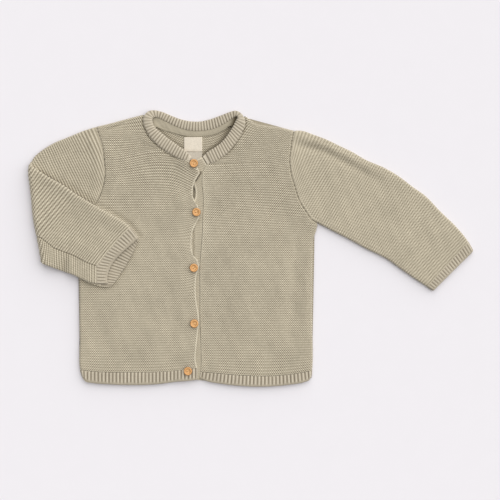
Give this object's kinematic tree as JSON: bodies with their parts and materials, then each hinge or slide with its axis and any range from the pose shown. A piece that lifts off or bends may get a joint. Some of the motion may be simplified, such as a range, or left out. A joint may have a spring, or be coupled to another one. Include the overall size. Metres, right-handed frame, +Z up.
{
  "type": "baby cardigan",
  "caption": "Garter-stitch baby cardigan laid flat, front closed with wooden buttons, ribbed neckband, hem and cuffs, one sleeve straight and one folded back.",
  "frame": {"origin": "centre of the garment's plan, on the surface it lies on", "axes": "+X to the right seen from above, along the straight sleeve's side, +Y towards the neck, +Z up from the surface"},
  "size_m": [0.5252, 0.3264, 0.0126],
  "materials": {
    "knit": "soft matt oatmeal yarn in garter stitch, with a fine halo of fibres",
    "rib": "the same yarn in single rib",
    "tape": "smooth plain knitted tape",
    "label": "blank cream woven label",
    "size_tab": "blank woven tab, a little greyer",
    "wood": "turned light wood, satin, with a darker rim"
  },
  "bodies": {
    "root": {"back": "knit", "front_left": "knit", "front_right": "knit", "button_band": "knit", "sleeve_left": "knit", "sleeve_right": "knit", "hem_back": "rib", "hem_front_left": "rib", "hem_front_right": "rib", "neckband": "rib", "cuff_left": "rib", "cuff_right": "rib", "neck_tape": "tape", "label": "label", "size_tab": "size_tab", "button_1": "wood", "button_2": "wood", "button_3": "wood", "button_4": "wood", "button_5": "wood"}
  },
  "joints": []
}
